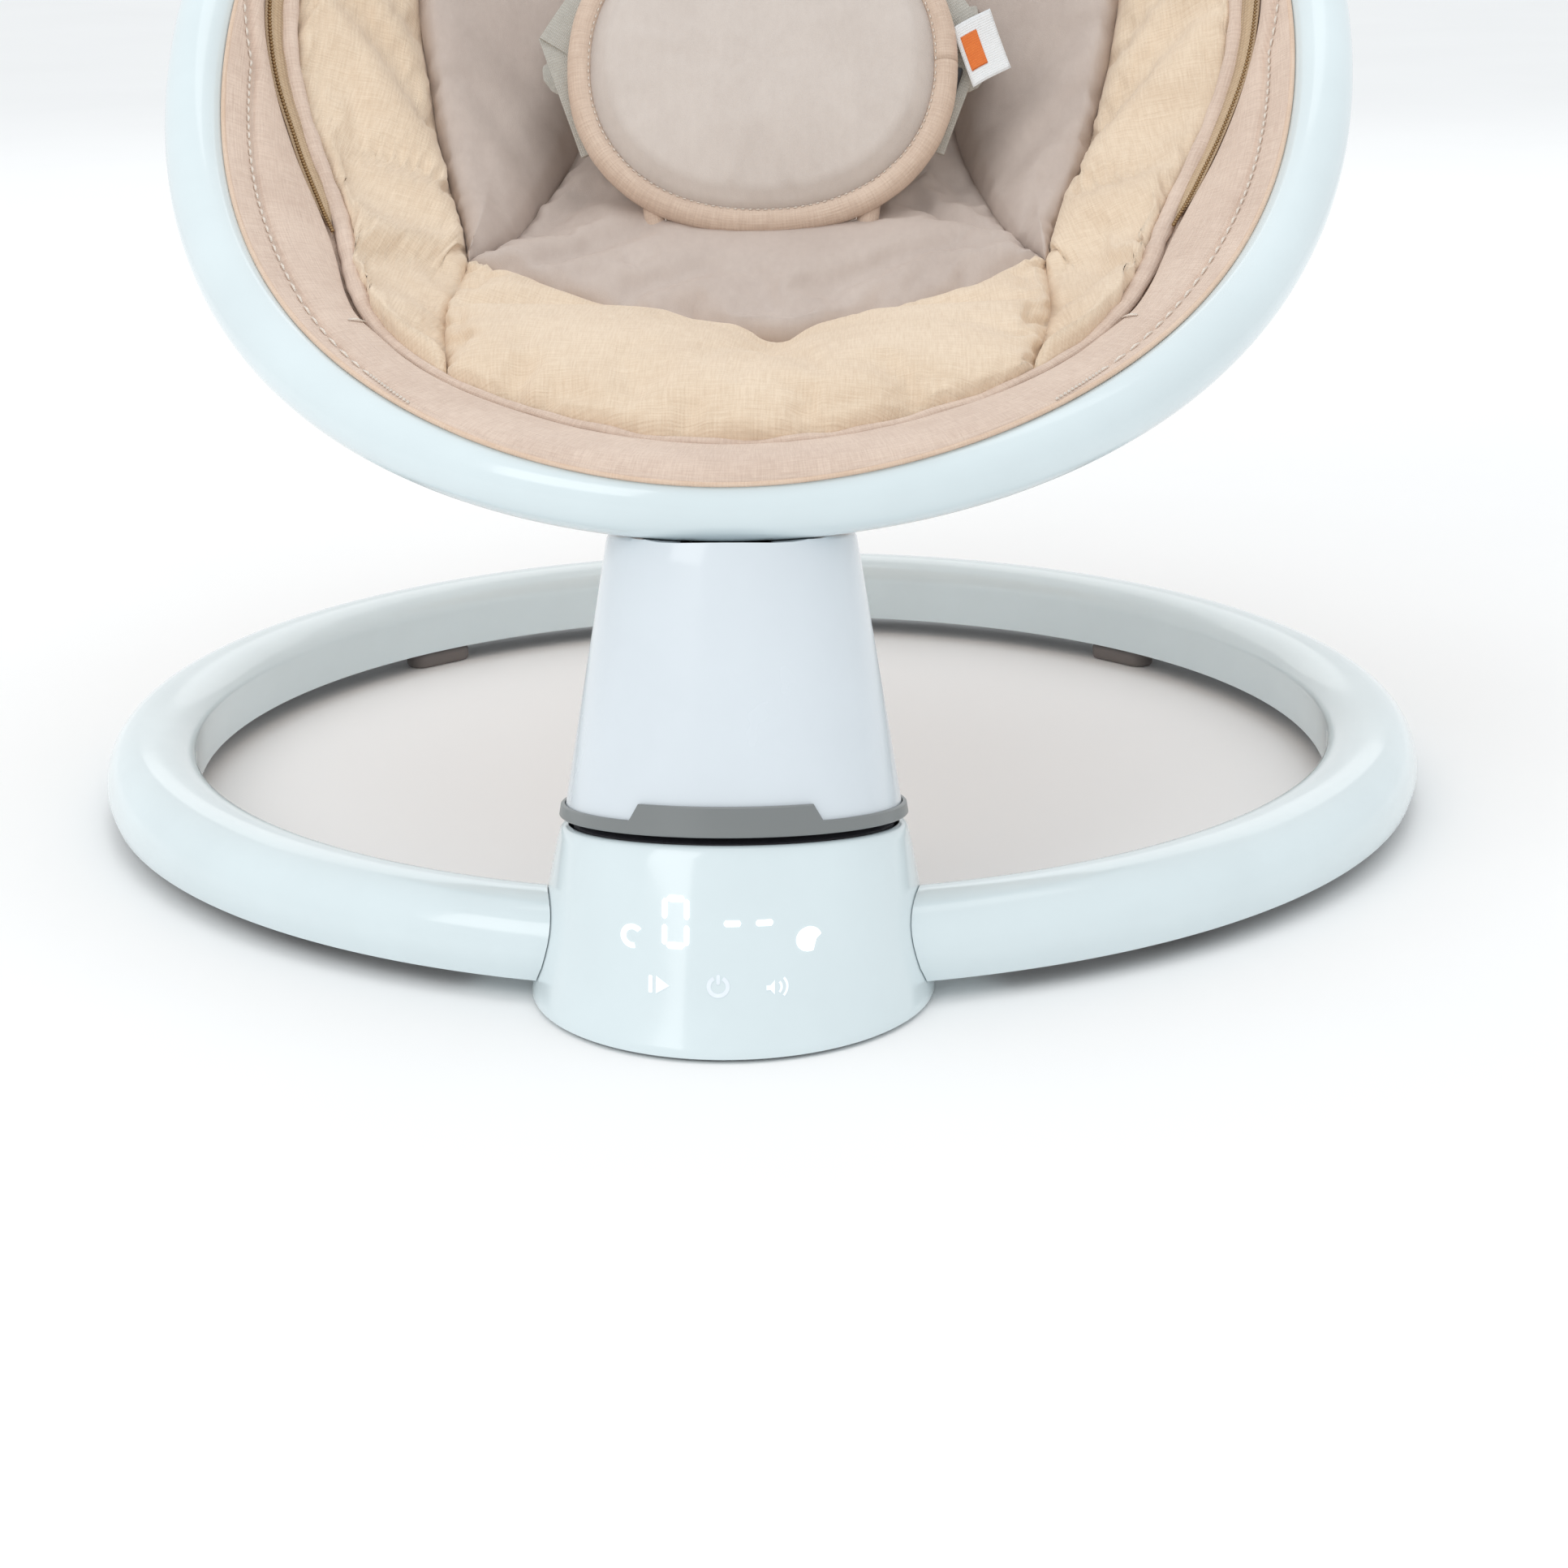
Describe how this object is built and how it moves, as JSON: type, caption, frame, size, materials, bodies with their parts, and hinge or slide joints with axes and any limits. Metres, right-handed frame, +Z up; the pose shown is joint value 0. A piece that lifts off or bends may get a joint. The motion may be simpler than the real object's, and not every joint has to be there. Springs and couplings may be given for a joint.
{
  "type": "baby swing",
  "caption": "Electric baby swing: ring base, motor housing and leaning column carrying an oval seat frame with fabric sling, padded liner and harness.",
  "frame": {"origin": "on the floor, in the middle of the swing's footprint", "axes": "+Z up, +Y from the front of the swing to the back of the seat, +X to the right seen from the front"},
  "size_m": [0.5196, 0.6331, 0.5175],
  "materials": {
    "ring_plastic": "glossy moulded plastic",
    "column_plastic": "glossy moulded plastic",
    "grey_satin": "satin grey plastic",
    "dark_plastic": "matt moulded plastic",
    "rubber": "matt rubber",
    "steel": "zinc-plated steel",
    "copper": "copper winding",
    "board": "printed circuit board",
    "light_guide": "frosted diffuser, lit from behind",
    "sling_linen": "linen weave",
    "liner_linen": "quilted linen weave and velour",
    "velour": "short-pile velour",
    "webbing": "woven webbing",
    "label": "woven label, blank"
  },
  "bodies": {
    "base": {"base_ring_left": "ring_plastic", "base_ring_right": "ring_plastic", "ring_cover_left": "dark_plastic", "ring_cover_right": "dark_plastic", "ring_spigot_left": "steel", "ring_spigot_right": "steel", "ring_joiner": "dark_plastic", "foot_front_left": "rubber", "foot_front_right": "rubber", "foot_rear_left": "rubber", "foot_rear_right": "rubber", "housing_shell": "ring_plastic", "base_plate": "dark_plastic", "base_pad": "rubber", "bearing_carrier": "dark_plastic", "bearing_lower": "steel", "bearing_upper": "steel", "drive_coil": "copper", "speaker": "dark_plastic", "control_board": "board", "display_board": "board", "light_guide": "light_guide", "power_jack": "dark_plastic", "dust_skirt": "rubber"},
    "column": {"column_shell": "column_plastic", "trim_band": "grey_satin", "spindle_shaft": "steel", "magnet_arm": "steel", "drive_magnet": "dark_plastic", "spindle_nut": "steel", "column_hub": "dark_plastic", "recline_head": "dark_plastic", "recline_pin": "steel", "button_spring": "steel"},
    "recline_button": {"recline_button": "grey_satin"},
    "seat": {"lower_seat_tube": "ring_plastic", "upper_seat_tube": "ring_plastic", "side_connector_left": "grey_satin", "side_connector_right": "grey_satin", "tube_plug_left": "dark_plastic", "tube_plug_right": "dark_plastic", "seat_cradle": "dark_plastic", "seat_sling": "sling_linen", "seat_liner": "liner_linen", "belly_pad": "velour", "harness_buckle": "dark_plastic", "waist_strap_left": "webbing", "waist_strap_right": "webbing", "shoulder_strap_left": "webbing", "shoulder_strap_right": "webbing", "care_label": "label"},
    "buckle_button": {"buckle_button": "grey_satin"}
  },
  "joints": [
    {"name": "swing", "type": "hinge", "parent": "base", "child": "column", "pos_m": [0, -0.239, 0], "axis": [0, 0.1754, 0.9845], "range_deg": [-18, 18]},
    {"name": "recline", "type": "hinge", "parent": "column", "child": "seat", "pos_m": [0, -0.212, 0.122], "axis": [-1, 0, 0], "range_deg": [0, 15]},
    {"name": "recline_press", "type": "slide", "parent": "column", "child": "recline_button", "axis": [0, -0.9845, 0.1754], "range_m": [0, 0.003], "stiffness_N_per_m": 600, "springref_m": -0.002, "deforming": ["button_spring"]},
    {"name": "buckle_press", "type": "slide", "parent": "seat", "child": "buckle_button", "axis": [0, -0.4848, -0.8746], "range_m": [0, 0.002], "stiffness_N_per_m": 500, "springref_m": -0.002}
  ]
}
